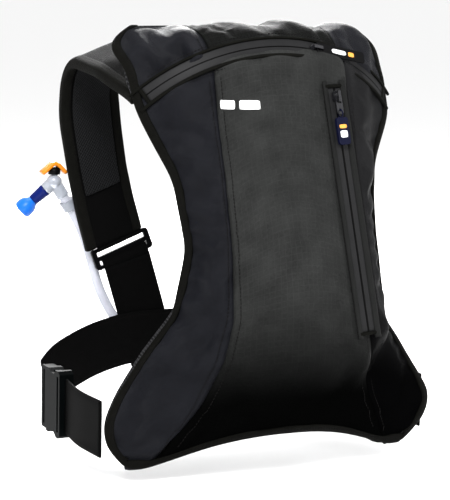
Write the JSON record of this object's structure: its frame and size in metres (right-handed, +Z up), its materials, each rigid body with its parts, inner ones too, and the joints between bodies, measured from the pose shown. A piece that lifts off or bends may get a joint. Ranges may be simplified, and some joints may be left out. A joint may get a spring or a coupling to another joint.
{
  "type": "hydration pack",
  "caption": "Close-fitting hydration pack in its worn shape, with shoulder straps, waist belt, zipped pockets, water reservoir and drinking hose.",
  "frame": {"origin": "centre of the lumbar pad's flat face, where the pack meets the wearer's back", "axes": "+Z up along the wearer's spine, +Y towards the wearer, +X to the wearer's right"},
  "size_m": [0.3429, 0.3013, 0.393],
  "materials": {
    "side_fabric": "satin coated nylon with fine wrinkles",
    "ripstop": "ripstop nylon with a 5 mm grid and a soft sheen",
    "foam": "closed-cell foam under black fabric",
    "mesh": "black spacer mesh",
    "binding": "grosgrain binding tape",
    "webbing": "black woven webbing",
    "strap_fabric": "black plain-weave nylon",
    "zip_tape": "water-resistant coated zip tape",
    "zip_metal": "black-painted zinc",
    "tag_rubber": "moulded rubber tag",
    "buckle_plastic": "moulded acetal, satin",
    "black_plastic": "moulded black plastic",
    "black_rubber": "moulded rubber grommet",
    "hose_tube": "translucent polyurethane tube",
    "clear_plastic": "clear moulded plastic",
    "orange_plastic": "orange moulded plastic",
    "dark_blue_plastic": "dark blue moulded plastic",
    "blue_silicone": "light blue silicone",
    "reservoir_film": "clear blue film, full of water"
  },
  "bodies": {
    "pack": {"yoke_panel": "side_fabric", "centre_panel": "ripstop", "left_side_panel": "side_fabric", "right_side_panel": "side_fabric", "back_panel_foam": "foam", "back_mesh": "mesh", "lumbar_pad": "mesh", "left_edge_binding": "binding", "right_edge_binding": "binding", "hang_loop": "webbing", "top_zip_tape": "zip_tape", "side_zip_tape": "zip_tape", "left_strap_cover": "strap_fabric", "left_strap_foam": "foam", "left_strap_mesh": "mesh", "right_strap_cover": "strap_fabric", "right_strap_foam": "foam", "right_strap_mesh": "mesh", "left_ladder_ring": "buckle_plastic", "right_ladder_ring": "buckle_plastic", "left_strap_webbing": "webbing", "right_strap_webbing": "webbing", "belt_long": "webbing", "belt_short": "webbing", "buckle_female": "buckle_plastic", "buckle_male": "buckle_plastic", "hose": "hose_tube", "inner_hose": "hose_tube", "hose_port": "black_rubber", "hose_keepers": "binding", "hose_clip": "black_plastic", "valve_elbow": "clear_plastic", "reservoir_pouch": "reservoir_film", "reservoir_cap": "blue_silicone", "reservoir_outlet": "black_plastic"},
    "top_slider": {"top_zip_slider": "zip_metal"},
    "top_tab": {"top_zip_tab": "webbing"},
    "side_slider": {"side_zip_slider": "zip_metal"},
    "side_puller": {"side_zip_puller": "zip_metal"},
    "side_tag": {"side_zip_tag": "tag_rubber"},
    "arm_top": {"latch_arm_top": "buckle_plastic"},
    "arm_bottom": {"latch_arm_bottom": "buckle_plastic"},
    "lever": {"shutoff_lever": "orange_plastic"},
    "mouthpiece": {"valve_stem": "dark_blue_plastic", "bite_valve": "blue_silicone"}
  },
  "joints": [
    {"name": "top_zip_slide", "type": "hinge", "parent": "pack", "child": "top_slider", "pos_m": [0, 0.06519, 0.03192], "axis": [0, 0.8755, 0.4833], "range_deg": [-54, 30]},
    {"name": "top_tab_swing", "type": "hinge", "parent": "top_slider", "child": "top_tab", "pos_m": [0.03583, -0.01865, 0.17817], "axis": [-0.1108, -0.4889, -0.8653], "range_deg": [0, 150]},
    {"name": "side_zip_slide", "type": "slide", "parent": "pack", "child": "side_slider", "axis": [0.0717, -0.2197, -0.9729], "range_m": [0, 0.205]},
    {"name": "side_puller_swing", "type": "hinge", "parent": "side_slider", "child": "side_puller", "pos_m": [0.04932, -0.03567, 0.13538], "axis": [-0.9868, -0.1579, -0.0371], "range_deg": [0, 120]},
    {"name": "side_tag_swing", "type": "hinge", "parent": "side_puller", "child": "side_tag", "pos_m": [0.05021, -0.03841, 0.12322], "axis": [-0.9868, -0.1579, -0.0371], "range_deg": [0, 25]},
    {"name": "latch_top", "type": "hinge", "parent": "pack", "child": "arm_top", "pos_m": [-0.165, 0.1184, -0.1425], "axis": [1, 0, 0], "range_deg": [0, 8], "stiffness_Nm_per_rad": 0.5},
    {"name": "latch_bottom", "type": "hinge", "parent": "pack", "child": "arm_bottom", "pos_m": [-0.165, 0.1184, -0.1755], "axis": [-1, 0, 0], "range_deg": [0, 8], "stiffness_Nm_per_rad": 0.5},
    {"name": "shutoff_turn", "type": "hinge", "parent": "pack", "child": "lever", "pos_m": [-0.13542, 0.19841, 0.04634], "axis": [0, 0, 1], "range_deg": [0, 90]},
    {"name": "mouthpiece_turn", "type": "hinge", "parent": "pack", "child": "mouthpiece", "pos_m": [-0.13542, 0.19841, 0.03814], "axis": [-0.66, 0.34, -0.67], "continuous": true}
  ],
  "couplings": [
    {"joint": "latch_bottom", "follows": "latch_top", "ratio": 1}
  ]
}
